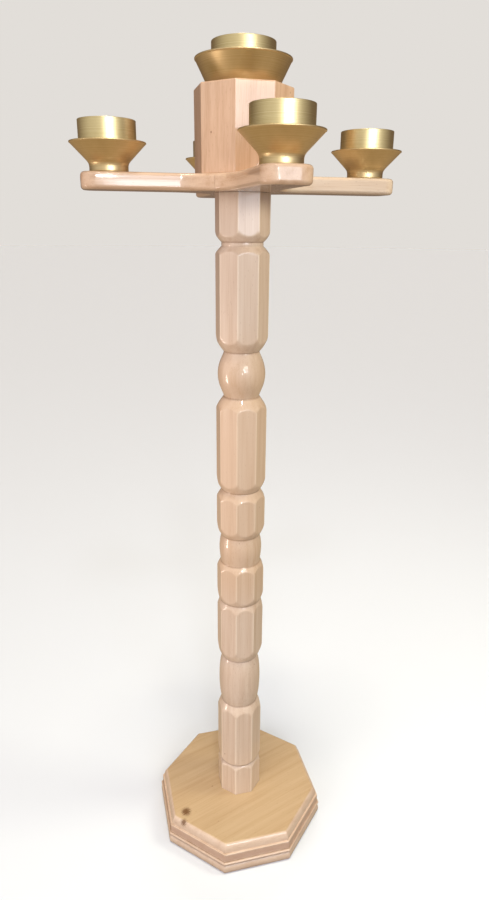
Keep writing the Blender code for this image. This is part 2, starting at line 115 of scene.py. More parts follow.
def makeBeech(name, grain, shade="#FFFFFF", seed=0.0, figure=1.0, sides=None, marks=(), arris=None):
    # grain is the direction of the fibres, in the piece's own axes; figure is how strongly they show;
    # sides is another tint and the height up to which it holds, and marks are kinds of mark with a place
    # and a reach; arris is the distances from the axis between which flats run into paler edges: wear and a
    # painted highlight
    material, tree, shader = startMaterial(name)
    place = addNode(tree, "ShaderNodeTexCoord")
    shift = addNode(tree, "ShaderNodeVectorMath", {"operation": "ADD"},
                    {1: Vector(beech["seedShift"]) * seed}, {0: place.outputs["Object"]})
    turn = Vector(grain).to_track_quat("Z", "Y").inverted().to_euler()
    along = addNode(tree, "ShaderNodeMapping", None, {"Rotation": turn}, {"Vector": shift.outputs[0]})
    spread = {}
    for part in ("fibre", "band", "fleckCell", "pitCell"):
        width, length = beech[part]
        size = (1 / (width * mm), 1 / (width * mm), 1 / (length * mm))
        stretched = addNode(tree, "ShaderNodeMapping", None, {"Scale": size}, {"Vector": along.outputs[0]})
        spread[part] = stretched.outputs[0]

    bands = addNode(tree, "ShaderNodeTexNoise", None, {"Scale": 1, "Detail": 3, "Roughness": 0.55},
                    {"Vector": spread["band"]})
    fibres = addNode(tree, "ShaderNodeTexNoise", None, {"Scale": 1, "Detail": 2, "Roughness": 0.6},
                     {"Vector": spread["fibre"]})
    mixed = addNode(tree, "ShaderNodeMix", None, {"Factor": beech["fibreShare"]},
                    {"A": bands.outputs["Fac"], "B": fibres.outputs["Fac"]})
    middle, swing = beech["toneMiddle"], beech["toneSpread"] / figure
    tone = addNode(tree, "ShaderNodeValToRGB", None, None, {"Fac": mixed.outputs["Result"]},
                   ((middle - swing, beech["dark"]), (middle, beech["middle"]),
                    (middle + swing, beech["pale"])))

    masks = []
    for part in ("fleck", "pit"):
        cells = addNode(tree, "ShaderNodeTexVoronoi", {"feature": "F1"}, {"Scale": 1, "Randomness": 1},
                        {"Vector": spread[part + "Cell"]})
        full, gone = beech[part + "Fade"]
        mask = addNode(tree, "ShaderNodeMapRange", None,
                       {"From Min": full, "From Max": gone, "To Min": beech[part + "Share"], "To Max": 0},
                       {"Value": cells.outputs["Distance"]})
        masks.append(mask.outputs["Result"])
    specks = addNode(tree, "ShaderNodeMath", {"operation": "MAXIMUM"}, None, {0: masks[0], 1: masks[1]})
    marked = addNode(tree, "ShaderNodeMix", {"data_type": "RGBA"}, {"B": hexColour(beech["speck"])},
                     {"Factor": specks.outputs[0], "A": tone.outputs["Color"]})

    # below the side height the wood takes the side tint, above it the main tint; on the base this is painted
    # light: a darker, yellower top under the warm lamps above and paler, pinker sides
    sideShade, sideTop = sides or (shade, 0)
    height = addNode(tree, "ShaderNodeSeparateXYZ", None, None, {"Vector": place.outputs["Object"]})
    above = addNode(tree, "ShaderNodeMapRange", None,
                    {"From Min": sideTop - beech["sideBlend"] * mm, "From Max": sideTop},
                    {"Value": height.outputs["Z"]})
    sideAndTopTint = addNode(tree, "ShaderNodeMix", {"data_type": "RGBA"},
                    {"A": hexColour(sideShade), "B": hexColour(shade)}, {"Factor": above.outputs["Result"]})
    tinted = addNode(tree, "ShaderNodeMix", {"data_type": "RGBA", "blend_type": "MULTIPLY"}, {"Factor": 1},
                     {"A": marked.outputs["Result"], "B": sideAndTopTint.outputs["Result"]})
    colour = tinted.outputs["Result"]

    # paler arrises: partly wear, partly a painted highlight where the eased corners catch the light
    if arris:
        flat = addNode(tree, "ShaderNodeVectorMath", {"operation": "MULTIPLY"}, {1: (1, 1, 0)},
                       {0: place.outputs["Object"]})
        out = addNode(tree, "ShaderNodeVectorMath", {"operation": "LENGTH"}, None, {0: flat.outputs[0]})
        edge = addNode(tree, "ShaderNodeMapRange", {"interpolation_type": "SMOOTHSTEP"},
                       {"From Min": arris[0], "From Max": arris[1], "To Max": beech["wornSheenShare"]},
                       {"Value": out.outputs["Value"]})
        wornSheen = addNode(tree, "ShaderNodeMix", {"data_type": "RGBA"}, {"B": hexColour(beech["wornSheen"])},
                       {"Factor": edge.outputs["Result"], "A": colour})
        colour = wornSheen.outputs["Result"]
    for kind, centre, reach in marks:
        look = woodMarks[kind]
        spot = addNode(tree, "ShaderNodeVectorMath", {"operation": "MULTIPLY"},
                       {1: (look["across"], look["across"], 1)}, {0: place.outputs["Object"]})
        away = addNode(tree, "ShaderNodeVectorMath", {"operation": "DISTANCE"}, {1: centre},
                       {0: spot.outputs[0]})
        drawnIn = addNode(tree, "ShaderNodeMath", {"operation": "MULTIPLY_ADD"},
                          {1: look["ragged"] * reach}, {0: fibres.outputs["Fac"], 2: away.outputs["Value"]})
        near = addNode(tree, "ShaderNodeMapRange", {"interpolation_type": "SMOOTHSTEP"},
                       {"From Min": reach, "From Max": look["core"] * reach, "To Max": look["share"]},
                       {"Value": drawnIn.outputs[0]})
        stained = addNode(tree, "ShaderNodeMix", {"data_type": "RGBA"}, {"B": hexColour(look["colour"])},
                          {"Factor": near.outputs["Result"], "A": colour})
        colour = stained.outputs["Result"]
    tree.links.new(colour, shader.inputs["Base Color"])

    rough = addNode(tree, "ShaderNodeMapRange", None,
                    {"From Min": noiseRange[0], "From Max": noiseRange[1],
                     "To Min": beech["roughness"] + beech["roughnessSwing"],
                     "To Max": beech["roughness"] - beech["roughnessSwing"]}, {"Value": fibres.outputs["Fac"]})
    tree.links.new(rough.outputs["Result"], shader.inputs["Roughness"])
    bump = addNode(tree, "ShaderNodeBump", None,
                   {"Strength": beech["bump"], "Distance": beech["bumpDepth"] * mm},
                   {"Height": fibres.outputs["Fac"]})
    tree.links.new(bump.outputs["Normal"], shader.inputs["Normal"])
    shader.inputs["IOR"].default_value = beech["ior"]
    shader.inputs["Coat Weight"].default_value = beech["coat"]
    shader.inputs["Coat Roughness"].default_value = beech["coatRoughness"]
    return material


# Brass, turned on a lathe and left bright: greenish gold with fine rings from the tool round the axis,
# which pull every highlight out into a soft band, and a little dulling between them.
# Pitch, smudge size and bump depth are in mm.
brass = {
    "tones": ((0.3, "#C2B286"), (0.48, "#D2C49C"), (0.68, "#DFD3AE")), "ringPitch": 1.1, "smudge": 26,
    "smudgeShare": 0.35, "rougher": 0.08, "smoother": 0.06, "bump": 0.25, "bumpDepth": 0.08, "pull": 0.45,
}


def makeBrass(name, roughness, shade="#FFFFFF"):
    material, tree, shader = startMaterial(name)
    place = addNode(tree, "ShaderNodeTexCoord")
    parts = addNode(tree, "ShaderNodeSeparateXYZ", None, None, {"Vector": place.outputs["Object"]})
    # rings follow the height and the distance from the axis, so that cones and flat floors get them too
    flat = addNode(tree, "ShaderNodeCombineXYZ", None, None,
                   {"X": parts.outputs["X"], "Y": parts.outputs["Y"]})
    out = addNode(tree, "ShaderNodeVectorMath", {"operation": "LENGTH"}, None, {0: flat.outputs[0]})
    climb = addNode(tree, "ShaderNodeMath", {"operation": "ADD"}, None,
                    {0: out.outputs["Value"], 1: parts.outputs["Z"]})
    rung = addNode(tree, "ShaderNodeMath", {"operation": "MULTIPLY"}, {1: 1 / (brass["ringPitch"] * mm)},
                   {0: climb.outputs[0]})
    rings = addNode(tree, "ShaderNodeTexNoise", {"noise_dimensions": "1D"},
                    {"Scale": 1, "Detail": 3, "Roughness": 0.7}, {"W": rung.outputs[0]})
    smudges = addNode(tree, "ShaderNodeTexNoise", None,
                      {"Scale": 1 / (brass["smudge"] * mm), "Detail": 3, "Roughness": 0.6},
                      {"Vector": place.outputs["Object"]})
    blended = addNode(tree, "ShaderNodeMix", None, {"Factor": brass["smudgeShare"]},
                      {"A": rings.outputs["Fac"], "B": smudges.outputs["Fac"]})
    tone = addNode(tree, "ShaderNodeValToRGB", None, None, {"Fac": blended.outputs["Result"]}, brass["tones"])
    tinted = addNode(tree, "ShaderNodeMix", {"data_type": "RGBA", "blend_type": "MULTIPLY"},
                     {"Factor": 1, "B": hexColour(shade)}, {"A": tone.outputs["Color"]})
    tree.links.new(tinted.outputs["Result"], shader.inputs["Base Color"])
    rough = addNode(tree, "ShaderNodeMapRange", None,
                    {"From Min": noiseRange[0], "From Max": noiseRange[1],
                     "To Min": roughness + brass["rougher"], "To Max": roughness - brass["smoother"]},
                    {"Value": blended.outputs["Result"]})
    tree.links.new(rough.outputs["Result"], shader.inputs["Roughness"])
    bump = addNode(tree, "ShaderNodeBump", None,
                   {"Strength": brass["bump"], "Distance": brass["bumpDepth"] * mm},
                   {"Height": rings.outputs["Fac"]})
    tree.links.new(bump.outputs["Normal"], shader.inputs["Normal"])
    around = addNode(tree, "ShaderNodeTangent", {"direction_type": "RADIAL", "axis": "Z"})
    tree.links.new(around.outputs["Tangent"], shader.inputs["Tangent"])
    shader.inputs["Anisotropic"].default_value = brass["pull"]
    shader.inputs["Metallic"].default_value = 1
    return material


# Steel, zinc plated: pale cool grey with the faint bluish and yellowish cloud of the plating.
zinc = {"tones": ((0.35, "#A9A796"), (0.65, "#C9CBC8")), "cloudSize": 6, "roughness": 0.34,
        "roughnessSwing": 0.08}


def makeZinc(name):
    material, tree, shader = startMaterial(name)
    place = addNode(tree, "ShaderNodeTexCoord")
    clouds = addNode(tree, "ShaderNodeTexNoise", None,
                     {"Scale": 1 / (zinc["cloudSize"] * mm), "Detail": 3}, {"Vector": place.outputs["Object"]})
    tone = addNode(tree, "ShaderNodeValToRGB", None, None, {"Fac": clouds.outputs["Fac"]}, zinc["tones"])
    tree.links.new(tone.outputs["Color"], shader.inputs["Base Color"])
    rough = addNode(tree, "ShaderNodeMapRange", None,
                    {"To Min": zinc["roughness"] + zinc["roughnessSwing"],
                     "To Max": zinc["roughness"] - zinc["roughnessSwing"]},
                    {"Value": clouds.outputs["Fac"]})
    tree.links.new(rough.outputs["Result"], shader.inputs["Roughness"])
    shader.inputs["Metallic"].default_value = 1
    return material


beechBlock = makeBeech("lacqueredBeechBlock", (0.03, 0.02, 1), seed=3, shade="#FFEDDC")
beechArm = makeBeech("lacqueredBeechArm", (0, 1, 0), seed=5, shade="#FFF2E4")
# a paler, yellower copy of the arm wood for the right arm: painted light from the lamp on that side
beechLitArm = makeBeech("lacqueredBeechLitArm", (0, 1, 0), seed=6, shade="#FFFFFA")
beechDowel = makeBeech("plainBeechDowel", (0, 0, 1), seed=11)
brassSocket = makeBrass("turnedBrassSocket", 0.34, shade="#FFFDF0")
brassDish = makeBrass("turnedBrassDish", 0.36, shade="#FFF6EC")
zincSteel = makeZinc("zincPlatedSteel")
print("shared materials made:", len(bpy.data.materials))


# Mesh tools. Holes have a number of sides, boards have steps along each flat and round each corner, and
# half a sector is the angle from the middle of an octagon's flat to its corner.
smallHole = 24
largeHole = 48
boardSteps = (2, 6)
halfSector = math.pi / 8


def addPiece(name, shape, material, nodes, place=(0, 0, 0), turn=0.0, sharp=40):
    bmesh.ops.recalc_face_normals(shape, faces=shape.faces)
    mesh = bpy.data.meshes.new(name)
    shape.to_mesh(mesh)
    shape.free()
    mesh.shade_smooth()
    mesh.set_sharp_from_angle(angle=math.radians(sharp))
    mesh.materials.append(material)
    piece = bpy.data.objects.new(name, mesh)
    bpy.context.scene.collection.objects.link(piece)
    piece.matrix_world = Matrix.Translation(place) @ Matrix.Rotation(turn, 4, "Z")
    # large faces keep their own normals beside small rounded edges
    piece.modifiers.new("faceWeights", "WEIGHTED_NORMAL").keep_sharp = True
    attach(piece, "root")
    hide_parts(*nodes)


def skin(shape, levels):
    # faces between loops of corners; a loop of one corner is a tip on the axis
    loops = [[shape.verts.new(corner) for corner in level] for level in levels]
    for upper, lower in zip(loops, loops[1:]):
        count = max(len(upper), len(lower))
        for i in range(count):
            corners = (upper[i % len(upper)], upper[(i + 1) % len(upper)],
                       lower[(i + 1) % len(lower)], lower[i % len(lower)])
            shape.faces.new(list(dict.fromkeys(corners)))
    return loops


def circle(radius, height, steps, centre=(0, 0)):
    if radius == 0:
        return [(*centre, height)]
    return [(centre[0] + radius * math.cos(2 * math.pi * i / steps),
             centre[1] + radius * math.sin(2 * math.pi * i / steps), height) for i in range(steps)]


def turned(outline, steps):
    # outline is (radius, height) points, closed into a ring
    shape = bmesh.new()
    loops = skin(shape, [circle(radius, height, steps) for radius, height in outline])
    last, first = loops[-1], loops[0]
    for i in range(steps):
        shape.faces.new((last[i], last[(i + 1) % steps], first[(i + 1) % steps], first[i]))
    return shape


def fillBetween(shape, loops):
    # a flat face inside the first loop, with the others as holes in it
    rims = [shape.edges.get(pair) for loop in loops for pair in zip(loop, loop[1:] + loop[:1])]
    bmesh.ops.triangle_fill(shape, edges=rims, use_beauty=True, normal=(0, 0, 1))


def slab(levels, holes):
    # sides from the top down, then flat faces with holes; a hole is (outline, steps, centre, ends),
    # and ends says which faces it opens on
    shape = bmesh.new()
    sides = skin(shape, levels)
    faces = {"top": [sides[0]], "bottom": [sides[-1]]}
    for outline, steps, centre, ends in holes:
        loops = skin(shape, [circle(radius, height, steps, centre) for radius, height in outline])
        for face, loop in zip(ends, (loops[0], loops[-1])):
            faces[face].append(loop)
    for loops in faces.values():
        fillBetween(shape, loops)
    return shape


def blindHole(radius, start, end):
    # outline of a round hole with a flat end
    return [(radius, start), (radius, end), (0, end)]


def arc(centre, size, start, end, steps):
    angles = [math.radians(start + (end - start) * i / steps) for i in range(steps + 1)]
    return [(centre[0] + size[0] * math.cos(a), centre[1] + size[1] * math.sin(a)) for a in angles]


def flatsRadius(angle, half, ease, sides=8):
    # distance from the axis to a regular polygon whose corners are eased to a small radius
    sector = math.pi / sides
    fromFlat = abs((angle + sector) % (2 * sector) - sector)
    run = math.atan((half - ease) * math.tan(sector) / half)
    if fromFlat <= run:
        return half / math.cos(fromFlat)
    inner = (half - ease) / math.cos(sector)
    away = sector - fromFlat
    return inner * math.cos(away) + math.sqrt(max(ease ** 2 - (inner * math.sin(away)) ** 2, 0))


def octagonAngles(half, ease, flatSteps, easeSteps):
    # angles that follow one eased octagon: even along the flats and close together at the corners
    run = math.atan((half - ease) * math.tan(halfSector) / half)
    angles = []
    for k in range(8):
        centre = k * 2 * halfSector
        angles += [centre - run + 2 * run * i / flatSteps for i in range(flatSteps)]
        angles += [centre + run + 2 * (halfSector - run) * i / easeSteps for i in range(easeSteps)]
    return angles


def octagon(half, height, ease, angles):
    return [(flatsRadius(a, half, ease) * math.cos(a), flatsRadius(a, half, ease) * math.sin(a), height)
            for a in angles]


def nodeHeights(node):
    low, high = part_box(node)
    return low.z, high.z


def halfWidth(node):
    low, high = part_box(node)
    return (high.x - low.x) / 2


# Base: two octagonal boards
base = {
    "beadDepth": 3 * mm, "narrowBead": 5 * mm, "groove": 2.5 * mm, "fillet": 1.8 * mm,
    "roundOverWidth": 7.8 * mm, "roundOverHeight": 15 * mm, "ledge": 2.8 * mm, "ledgeEase": 0.9 * mm,
    "cornerEase": 1.6 * mm, "arcSteps": 14, "screwOut": 85 * mm, "screwHole": 2.8 * mm,
    "screwHeadHole": 5.3 * mm, "screwRecess": 0.5 * mm, "screwHead": 3 * mm, "boltHole": 5.3 * mm,
    "counterbore": 16 * mm, "counterboreDepth": 12 * mm, "tenonHole": 20.3 * mm, "screwInUpper": 18.3 * mm,
    "footCut": 0.5 * mm, "jointCut": 0.4 * mm, "ledgeSteps": 4, "sideTop": 53.8 * mm,
}
boardJoint = nodeHeights("base_lower_board")[1]
boardLedge = nodeHeights("base_upper_board")[1] - base["roundOverHeight"]
# painted shade on the base: on the upright face under the ledge, on the lower bead by the floor, in the groove
# between the beads and at the joint of the boards; and two dark knots
baseMarks = (
    ("uprightShade", (0, 0, (boardJoint + boardLedge) / 2), 0.6 * (boardLedge - boardJoint)),
    ("uprightShade", (0, 0, 0), 9 * mm),
    ("grooveShade", (0, 0, boardJoint - base["narrowBead"] - base["groove"] / 2), 3.8 * mm),
    ("grooveShade", (0, 0, boardJoint), 1.6 * mm),
    ("knot", (-0.103, -0.048, 0.054), 19 * mm),
    ("knot", (-0.109, -0.064, 0.05), 14 * mm),
)
# the base's darker, yellower top and paler, pinker sides are painted light from the warm lamps above
beechBase = makeBeech("lacqueredBeechBase", (1, 0.35, 0), seed=8, shade="#ECE3C8", figure=0.7,
                      sides=("#FFFCFA", base["sideTop"]), marks=baseMarks)
screwPlaces = [(base["screwOut"] * math.cos(a), base["screwOut"] * math.sin(a))
               for a in (math.pi / 4 + k * math.pi / 2 for k in range(4))]


def makeLowerBoard():
    low, high = nodeHeights("base_lower_board")
    half = halfWidth("base_lower_board")
    inner = half - base["beadDepth"]
    grooveTop = high - base["narrowBead"]
    grooveBottom = grooveTop - base["groove"]
    outline = []
    for top, bottom in ((high, grooveTop), (grooveBottom, low + base["fillet"])):
        outline += arc((inner, (top + bottom) / 2), (base["beadDepth"], (top - bottom) / 2), 90, -90,
                       base["arcSteps"])
    outline += [(inner, low + base["footCut"]), (inner - base["footCut"], low)]
    angles = octagonAngles(half, base["cornerEase"], *boardSteps)
    levels = [octagon(radius, height, base["cornerEase"], angles) for radius, height in outline]
    forBolt = [(base["boltHole"], high), (base["boltHole"], low + base["counterboreDepth"]),
               (base["counterbore"], low + base["counterboreDepth"]), (base["counterbore"], low)]
    sink = low + base["screwRecess"]
    forScrew = [(base["screwHole"], high), (base["screwHole"], sink + base["screwHead"]),
                (base["screwHeadHole"], sink), (base["screwHeadHole"], low)]
    holes = [(forScrew, smallHole, place, ("top", "bottom")) for place in screwPlaces]
    holes.append((forBolt, largeHole, (0, 0), ("top", "bottom")))
    addPiece("baseLowerBoard", slab(levels, holes), beechBase, ["base_lower_board"])


def makeUpperBoard():
    low, high = nodeHeights("base_upper_board")
    half = halfWidth("base_upper_board")
    ledge = high - base["roundOverHeight"]
    topHalf = half - base["ledge"] - base["roundOverWidth"]
    ease = base["ledgeEase"]
    outline = arc((topHalf, ledge), (base["roundOverWidth"], base["roundOverHeight"]), 90, 0, base["arcSteps"])
    outline += arc((half - ease, ledge - ease), (ease, ease), 90, 0, base["ledgeSteps"])
    outline += [(half, low + base["jointCut"]), (half - base["jointCut"], low)]
    angles = octagonAngles(half, base["cornerEase"], *boardSteps)
    levels = [octagon(radius, height, base["cornerEase"], angles) for radius, height in outline]
    forScrew = blindHole(base["screwHole"], low, low + base["screwInUpper"])
    forTenon = [(base["tenonHole"], high), (base["tenonHole"], low)]
    holes = [(forScrew, smallHole, place, ("bottom",)) for place in screwPlaces]
    holes.append((forTenon, largeHole, (0, 0), ("top", "bottom")))
    addPiece("baseUpperBoard", slab(levels, holes), beechBase, ["base_upper_board"])


makeLowerBoard()
makeUpperBoard()
print("base made")


# Column: turned from an octagonal blank, so that each flat runs out into the round shoulders in a scallop.
# Each row is a flat length and the turning above it, in mm: flat, lower shoulder, lower waist radius,
# belly height, belly radius, upper waist radius, upper shoulder, and the slimness of the belly.
column = {
    "rows": ((49.9, 9, 32.3, 1, 32.4, 32.3, 12, 0.5), (89.8, 21, 29.2, 87, 33.5, 28.2, 26, 0.45),
             (64.5, 15, 32.0, 1, 32.1, 32.0, 17, 0.5), (37.5, 14.5, 30.5, 45, 32.3, 29.4, 20, 0.65),
             (39, 14.8, 28.6, 1, 28.7, 28.6, 21.2, 0.5), (102, 20, 25.2, 63.5, 33.6, 24.7, 24.5, 0.65),
             (104, 11.5, 27.7, 4.5, 28.0, 27.7, 15, 0.5)),
    "blankMargin": 0.1 * mm, "lowerFullness": 1.3, "upperFullness": 1.8, "cornerEase": 0.8 * mm,
    "scallopEase": 0.5 * mm, "shoulderStep": 0.8 * mm, "bellyStep": 2 * mm, "flatSteps": 16, "easeSteps": 5,
    "tenonFoot": 20 * mm, "tenonHead": 18 * mm, "boltHole": 5.3 * mm, "boltIn": 70.3 * mm,
    "grooveReach": 3.4 * mm, "grooveOut": 0.5 * mm, "narrowNeck": 10 * mm, "wornSheenReach": 0.7 * mm,
    # a yellower band round the middle of the column, centred at this height and fading over this reach
    "yellowerBand": 635 * mm, "yellowerBandReach": 240 * mm, "endGap": 0.3 * mm, "sharp": 50,
}


def columnOutline(blank, foot, head):
    outline = [(blank, foot)]
    z = foot
    for row in column["rows"]:
        flat, lower, lowerWaist, bellyHeight, belly, upperWaist, upper = (size * mm for size in row[:-1])
        z += flat
        steps = math.ceil(lower / column["shoulderStep"])
        for share in (i / steps for i in range(steps + 1)):
            outline.append((blank + (lowerWaist - blank) * share ** column["lowerFullness"], z + lower * share))
        z += lower
        steps = max(2, math.ceil(bellyHeight / column["bellyStep"]))
        for share in (i / steps for i in range(1, steps)):
            waist = lowerWaist + (upperWaist - lowerWaist) * share
            swell = math.sin(math.pi / 2 * (1 - abs(2 * share - 1)) ** row[-1]) ** 2
            outline.append((waist + (belly - waist) * swell, z + bellyHeight * share))
        z += bellyHeight + upper
        steps = math.ceil(upper / column["shoulderStep"])
        for share in (1 - i / steps for i in range(steps + 1)):
            outline.append((blank + (upperWaist - blank) * share ** column["upperFullness"], z - upper * share))
    outline.append((blank, head))
    return outline


def columnMarks(foot):
    # a yellower band round the middle, then painted shade in the creases at both ends of each belly, and once
    # at each narrow neck
    marks = [("yellowerBand", (0, 0, column["yellowerBand"]), column["yellowerBandReach"])]
    z = foot
    for row in column["rows"]:
        flat, lower, bellyHeight, upper = (row[i] * mm for i in (0, 1, 3, 6))
        z += flat + lower
        levels = [z + bellyHeight + column["grooveOut"]]
        if bellyHeight > column["narrowNeck"]:
            levels.append(z - column["grooveOut"])
        marks += [("grooveShade", (0, 0, level), column["grooveReach"]) for level in levels]
        z += bellyHeight + upper
    return marks


def softLess(a, b, width):
    # the lesser of two radii, with a small round where they meet
    overlap = max(width - abs(a - b), 0) / width
    return min(a, b) - overlap * overlap * width / 4


def makeColumn():
    low, high = nodeHeights("column")
    foot = nodeHeights("base_upper_board")[1] + column["endGap"]
    head = nodeHeights("arm_front")[0] - column["endGap"]
    half = halfWidth("column")
    blank = half / math.cos(halfSector) + column["blankMargin"]
    angles = octagonAngles(half, column["cornerEase"], column["flatSteps"], column["easeSteps"])

    def ringOf(radius, z):
        return [(radius * math.cos(a), radius * math.sin(a), z) for a in angles]

    levels = [[(0, 0, low + column["boltIn"])], ringOf(column["boltHole"], low + column["boltIn"]),
              ringOf(column["boltHole"], low), ringOf(column["tenonFoot"], low),
              ringOf(column["tenonFoot"], foot)]
    for radius, z in columnOutline(blank, foot, head):
        ring = []
        for a in angles:
            reach = softLess(flatsRadius(a, half, column["cornerEase"]), radius, column["scallopEase"])
            ring.append((reach * math.cos(a), reach * math.sin(a), z))
        levels.append(ring)
    levels += [ringOf(column["tenonHead"], head), ringOf(column["tenonHead"], high), [(0, 0, high)]]
    shape = bmesh.new()
    skin(shape, levels)
    edge = flatsRadius(halfSector, half, column["cornerEase"])
    # the arrises are paler, worn and with a painted highlight along them
    beechUpright = makeBeech("lacqueredBeechUpright", (0, 0, 1), figure=0.8, marks=columnMarks(foot),
                             arris=(edge - column["wornSheenReach"], edge))
    addPiece("turnedColumn", shape, beechUpright, ["column"], sharp=column["sharp"])


makeColumn()
print("column made")


# Head: block and the cross of four mitred arms
headBlock = {"cornerEase": 1.6 * mm, "topEase": 2 * mm, "topSteps": 6, "footEase": 0.5 * mm, "footSteps": 3,
             "tenonHole": 18.3 * mm, "tenonIn": 40.3 * mm, "dowelHole": 4.3 * mm, "dowelOut": 40 * mm,
             "dowelInBlock": 20.3 * mm, "dowelInArm": 12.3 * mm, "screwHole": 2.8 * mm, "screwIn": 14.3 * mm}
dowelPlaces = [(headBlock["dowelOut"] * math.cos(k * math.pi / 2),
                headBlock["dowelOut"] * math.sin(k * math.pi / 2)) for k in range(4)]


def makeBlock():
    low, high = nodeHeights("head_block")
    half = halfWidth("head_block")
    ease = headBlock["cornerEase"]
    top = headBlock["topEase"]
    foot = headBlock["footEase"]
    outline = arc((half - top, high - top), (top, top), 90, 0, headBlock["topSteps"])
    outline += arc((half - foot, low + foot), (foot, foot), 0, -90, headBlock["footSteps"])
    angles = octagonAngles(half, ease, *boardSteps)
    levels = [octagon(radius, height, ease, angles) for radius, height in outline]
    forDowel = blindHole(headBlock["dowelHole"], low, low + headBlock["dowelInBlock"])
    forTenon = blindHole(headBlock["tenonHole"], low, low + headBlock["tenonIn"])
    forScrew = blindHole(headBlock["screwHole"], high, high - headBlock["screwIn"])
    holes = [(forDowel, smallHole, place, ("bottom",)) for place in dowelPlaces]
    holes += [(forTenon, largeHole, (0, 0), ("bottom",)), (forScrew, smallHole, (0, 0), ("top",))]
    addPiece("headBlock", slab(levels, holes), beechBlock, ["head_block"])


arm = {"width": 57 * mm, "tip": 18 * mm, "sweep": 61 * mm, "roundOver": 4.5 * mm, "cupOut": 168 * mm,
       "mitreGap": 0.15 * mm, "sweepSteps": 20, "tipSteps": 16, "roundSteps": 6, "holeSteps": 12}


def armPlan(inset, reach):
    # half the plan of the front arm and its mirror image: hollow corners, rounded tip, mitres and tenon hole
    half = arm["width"] / 2 - inset
    tip = arm["tip"] - inset
    sweep = arm["sweep"] + inset
    sweepOut = arm["width"] / 2 + arm["sweep"]
    right = arc((sweepOut, -sweepOut), (sweep, sweep), 135, 180, arm["sweepSteps"])
    right += arc((half - tip, tip - reach + inset), (tip, tip), 0, -90, arm["tipSteps"])
    left = [(-x, y) for x, y in reversed(right)]
    hole = arc((0, 0), (headBlock["tenonHole"], headBlock["tenonHole"]), -135, -45,
               arm["holeSteps"])
    plan = right + left + hole
    back = arm["mitreGap"] * math.sqrt(0.5)
    count = len(right) + len(left)
    for i, side in ((0, 1), (count - 1, -1), (count, -1), (len(plan) - 1, 1)):
        plan[i] = (plan[i][0] - side * back, plan[i][1] - back)
    return plan


def makeArm(side):
    node = "arm_" + side
    low, high = nodeHeights(node)
    reach = -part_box("arm_front")[0].y
    edge = arc((0, 0), (arm["roundOver"], arm["roundOver"]), 90, 0, arm["roundSteps"])
    upper = [(arm["roundOver"] - out, high - arm["roundOver"] + up) for out, up in edge]
    lower = [(inset, low + high - height) for inset, height in reversed(upper)]
    levels = [[(x, y, height) for x, y in armPlan(inset, reach)] for inset, height in upper + lower]
    holes = []
    for radius, depth, out in ((headBlock["screwHole"], headBlock["screwIn"], arm["cupOut"]),
                               (headBlock["dowelHole"], headBlock["dowelInArm"], headBlock["dowelOut"])):
        holes.append((blindHole(radius, high, high - depth), smallHole, (0, -out), ("top",)))
    # the right arm's copy of the wood is paler and yellower: painted light from the yellow lamp on its right
    board = beechLitArm if side == "right" else beechArm
    addPiece("arm" + side.capitalize(), slab(levels, holes), board, [node],
             turn=armTurn[side])


makeBlock()
for side in arms:
    makeArm(side)
print("head made")


# Brass cups: a drip dish on a foot and a candle socket that stands in it
cup = {
    "steps": 96, "wall": 2 * mm, "lip": 1 * mm, "lipEdge": 1.5 * mm, "lipFoot": 2 * mm, "hole": 2.8 * mm,
    "headHole": 5.3 * mm, "headDeep": 3 * mm, "footHeight": 9.5 * mm, "footRadius": 23.5 * mm,
    "fillet": 3 * mm, "filletPull": 0.25, "dishFloor": 11 * mm,
    "topBase": 44 * mm, "topFloor": 4 * mm, "socketWall": 2.5 * mm, "dishEase": 0.9 * mm,
    "socketEase": 0.6 * mm, "stem": 13 * mm, "stemHeight": 4 * mm, "coneGap": 0.8 * mm,
    "socketDepth": 29 * mm, "topDepth": 39 * mm,
}


def bent(start, corner, end, steps):
    # points on a smooth bend from start to end that follows the corner
    points = []
    for i in range(steps + 1):
        t = i / steps
        points.append(tuple((1 - t) ** 2 * a + 2 * t * (1 - t) * b + t * t * c
                            for a, b, c in zip(start, corner, end)))
    return points


def rounded(corners, ease, steps=4, mostOfSide=0.4):
    # a closed outline with each corner eased to a small round, less where its sides are short
    points = []
    for i, corner in enumerate(corners):
        before, after = Vector(corners[i - 1]), Vector(corners[(i + 1) % len(corners)])
        here = Vector(corner)
        cut = min(ease, mostOfSide * (before - here).length, mostOfSide * (after - here).length)
        points += bent(tuple(here + (before - here).normalized() * cut), corner,
                       tuple(here + (after - here).normalized() * cut), steps)
    return points


def dishOutline(side, height, rim):
    onTop = side == "top"
    foot = cup["topBase"] if onTop else cup["footRadius"]
    coneFoot = 0 if onTop else cup["footHeight"]
    floor = cup["topFloor"] if onTop else cup["dishFloor"]
    slope = (rim - foot) / (height - coneFoot)
    across = cup["wall"] * math.hypot(1, slope)
    outline = [(rim, height), (rim, height - cup["lipEdge"]), (rim - cup["lip"], height - cup["lipFoot"])]
    if not onTop:
        fillet = cup["fillet"]
        outline += [(foot + fillet * slope, coneFoot + fillet),
                    (foot + fillet * slope * cup["filletPull"], coneFoot), (foot, coneFoot - fillet)]
    outline += [(foot, 0), (cup["hole"], 0), (cup["hole"], floor),
                (foot + (floor - coneFoot) * slope - across, floor), (rim - across, height)]
    return outline, slope, across


